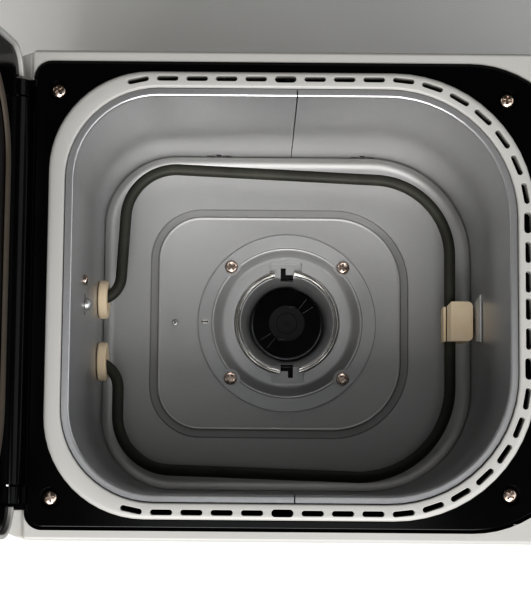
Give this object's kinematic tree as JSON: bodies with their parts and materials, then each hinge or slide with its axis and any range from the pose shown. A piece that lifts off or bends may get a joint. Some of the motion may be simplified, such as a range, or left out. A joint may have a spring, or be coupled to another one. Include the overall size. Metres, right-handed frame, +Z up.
{
  "type": "bread machine",
  "caption": "Upright household bread machine with its hinged lid open and bread pan removed: baking chamber, heating rod, drive socket, belt drive and sloping control panel.",
  "frame": {"origin": "middle of the bounding box seen from above, on the surface that the feet stand on, with the lid open", "axes": "+Z up; -Y is the front with the control panel, +Y the back where the lid is hinged; +X is the right-hand side of the machine"},
  "size_m": [0.243, 0.4254, 0.52],
  "materials": {
    "off_white_plastic": "fine satin moulding",
    "gloss_black_plastic": "polished black",
    "matte_black_plastic": "fine grain black",
    "chamber_sheet": "satin coated sheet",
    "floor_sheet": "matt grained sheet",
    "heater_sheath": "heat-darkened oxide",
    "ceramic": "unglazed steatite",
    "zinc_steel": "zinc plated",
    "bright_steel": "polished",
    "cast_socket": "bead-blasted die casting",
    "screw_nickel": "nickel plated",
    "grey_plastic": "glass-filled nylon",
    "rubber": "matt",
    "silicone": "matt",
    "tinted_glass": "smoked",
    "clear_lens": "clear",
    "circuit_board": "solder resist",
    "motor_steel": "laminated steel",
    "button_plastic": "soft satin"
  },
  "bodies": {
    "body": {"control_panel": "gloss_black_plastic", "display_lens": "clear_lens", "display_module": "grey_plastic", "control_board": "circuit_board", "housing_shell": "off_white_plastic", "base_plate": "matte_black_plastic", "foot_front_left": "rubber", "foot_front_right": "rubber", "foot_back_left": "rubber", "foot_back_right": "rubber", "top_deck": "gloss_black_plastic", "deck_screw_1": "screw_nickel", "deck_screw_2": "screw_nickel", "deck_screw_3": "screw_nickel", "deck_screw_4": "screw_nickel", "chamber_bezel": "off_white_plastic", "chamber_wall_rear": "chamber_sheet", "chamber_wall_front": "chamber_sheet", "chamber_floor": "floor_sheet", "heating_element": "heater_sheath", "element_insulator_right": "ceramic", "element_insulator_left": "ceramic", "element_support": "ceramic", "support_bracket": "zinc_steel", "temperature_sensor": "bright_steel", "sensor_screw": "screw_nickel", "thermal_fuse": "bright_steel", "socket_base": "cast_socket", "socket_ring": "bright_steel", "socket_screw_1": "screw_nickel", "socket_screw_2": "screw_nickel", "socket_screw_3": "screw_nickel", "socket_screw_4": "screw_nickel", "shaft_bearing": "cast_socket", "drive_belt": "rubber", "chassis": "zinc_steel", "motor": "motor_steel", "power_board": "circuit_board", "power_inlet": "matte_black_plastic", "hinge_pin_left": "bright_steel", "hinge_pin_right": "bright_steel"},
    "lid": {"lid_shell": "off_white_plastic", "lid_inner_frame": "gloss_black_plastic", "lid_liner": "chamber_sheet", "lid_window": "tinted_glass", "lid_inner_glass": "tinted_glass", "lid_seal": "silicone", "lid_screw_left": "screw_nickel", "lid_screw_right": "screw_nickel"},
    "drive": {"drive_coupling": "matte_black_plastic", "drive_shaft": "bright_steel", "large_pulley": "grey_plastic"},
    "motor_rotor": {"motor_shaft": "bright_steel", "motor_pulley": "grey_plastic"},
    "menu_button": {"menu_button": "button_plastic"},
    "loaf_button": {"loaf_button": "button_plastic"},
    "crust_button": {"crust_button": "button_plastic"},
    "timer_up_button": {"timer_up_button": "button_plastic"},
    "timer_down_button": {"timer_down_button": "button_plastic"},
    "start_button": {"start_button": "button_plastic"}
  },
  "joints": [
    {"name": "lid_hinge", "type": "hinge", "parent": "body", "child": "lid", "pos_m": [0, 0.14133, 0.24], "axis": [1, 0, 0], "range_deg": [0, 98]},
    {"name": "drive_spin", "type": "hinge", "parent": "body", "child": "drive", "pos_m": [0, 0.00433, 0.034], "axis": [0, 0, 1], "continuous": true},
    {"name": "motor_spin", "type": "hinge", "parent": "body", "child": "motor_rotor", "pos_m": [0, -0.17267, 0.034], "axis": [0, 0, 1], "continuous": true},
    {"name": "menu_press", "type": "slide", "parent": "body", "child": "menu_button", "axis": [0, 0.5427, -0.8399], "range_m": [0, 0.0015], "stiffness_N_per_m": 400, "springref_m": -0.0005},
    {"name": "loaf_press", "type": "slide", "parent": "body", "child": "loaf_button", "axis": [0, 0.5427, -0.8399], "range_m": [0, 0.0015], "stiffness_N_per_m": 400, "springref_m": -0.0005},
    {"name": "crust_press", "type": "slide", "parent": "body", "child": "crust_button", "axis": [0, 0.5427, -0.8399], "range_m": [0, 0.0015], "stiffness_N_per_m": 400, "springref_m": -0.0005},
    {"name": "timer_up_press", "type": "slide", "parent": "body", "child": "timer_up_button", "axis": [0, 0.5427, -0.8399], "range_m": [0, 0.0015], "stiffness_N_per_m": 400, "springref_m": -0.0005},
    {"name": "timer_down_press", "type": "slide", "parent": "body", "child": "timer_down_button", "axis": [0, 0.5427, -0.8399], "range_m": [0, 0.0015], "stiffness_N_per_m": 400, "springref_m": -0.0005},
    {"name": "start_press", "type": "slide", "parent": "body", "child": "start_button", "axis": [0, 0.5427, -0.8399], "range_m": [0, 0.0015], "stiffness_N_per_m": 400, "springref_m": -0.0005}
  ],
  "couplings": [
    {"joint": "motor_spin", "follows": "drive_spin", "ratio": 6}
  ]
}
